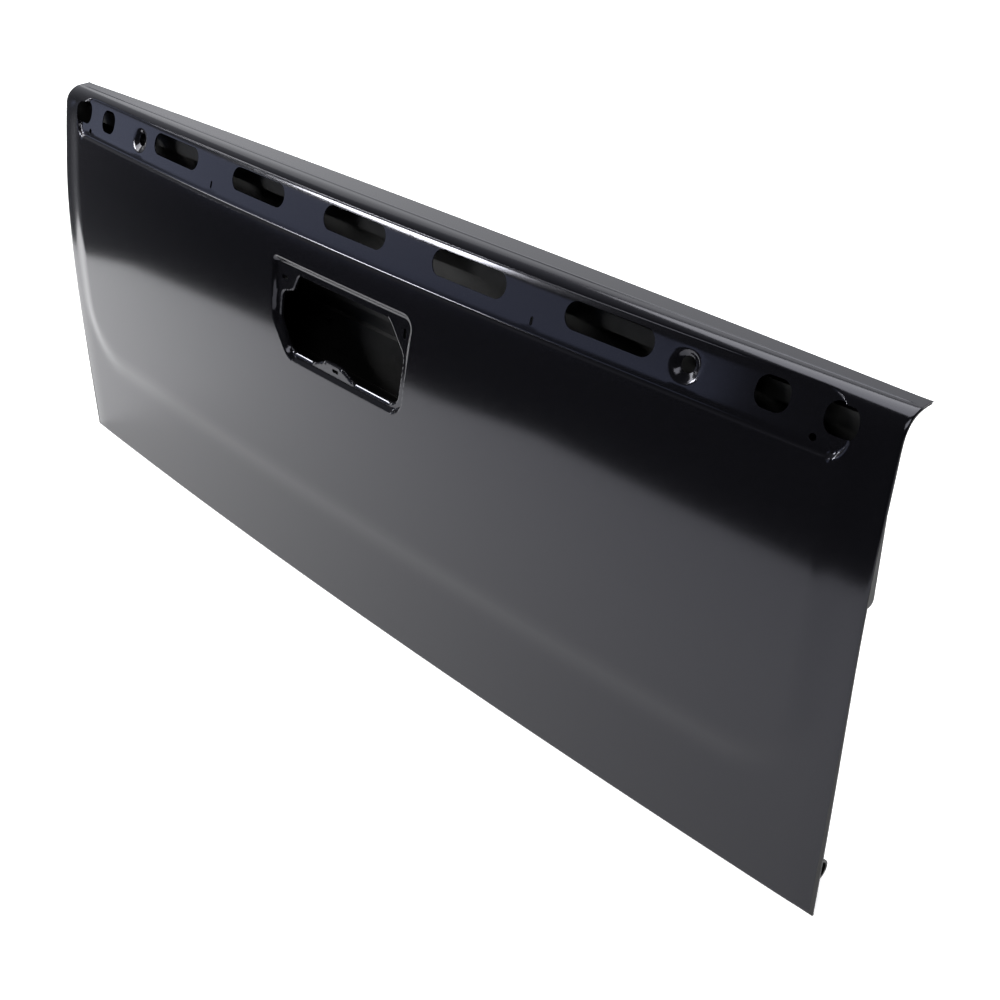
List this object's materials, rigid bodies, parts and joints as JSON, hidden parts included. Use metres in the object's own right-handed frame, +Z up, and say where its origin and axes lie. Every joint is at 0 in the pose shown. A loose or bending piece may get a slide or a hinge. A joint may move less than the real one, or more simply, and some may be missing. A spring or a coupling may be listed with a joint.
{
  "type": "pickup truck tailgate",
  "caption": "Bare pressed-steel tailgate of a pickup truck: crowned outer skin with slotted cap band and handle recess, ribbed bed-side panel, inset end walls and hinge cups.",
  "frame": {"origin": "centre of the outline on the plane that the bottom edges stand on", "axes": "+X along the tailgate to the right seen from outside, +Y from the outer skin to the cargo bed, +Z up"},
  "size_m": [1.58, 0.0978, 0.6141],
  "materials": {
    "coated_skin": "satin black primer coat on pressed sheet steel",
    "inner_steel": "matt black primer coat on formed sheet steel",
    "hinge_steel": "black coated steel tube"
  },
  "bodies": {
    "root": {"outer_skin": "coated_skin", "inner_panel": "coated_skin", "foot_wall": "coated_skin", "handle_frame": "inner_steel", "upper_rail": "inner_steel", "sill_angle": "inner_steel", "access_cover": "coated_skin", "left_end_wall": "coated_skin", "left_latch_pad": "coated_skin", "left_hinge_plate": "coated_skin", "left_hinge_cup": "hinge_steel", "left_cable_plate": "inner_steel", "left_corner_gusset": "inner_steel", "left_outer_stiffener": "inner_steel", "left_inner_stiffener": "inner_steel", "right_end_wall": "coated_skin", "right_latch_pad": "coated_skin", "right_hinge_plate": "coated_skin", "right_hinge_cup": "hinge_steel", "right_cable_plate": "inner_steel", "right_corner_gusset": "inner_steel", "right_outer_stiffener": "inner_steel", "right_inner_stiffener": "inner_steel"}
  },
  "joints": []
}
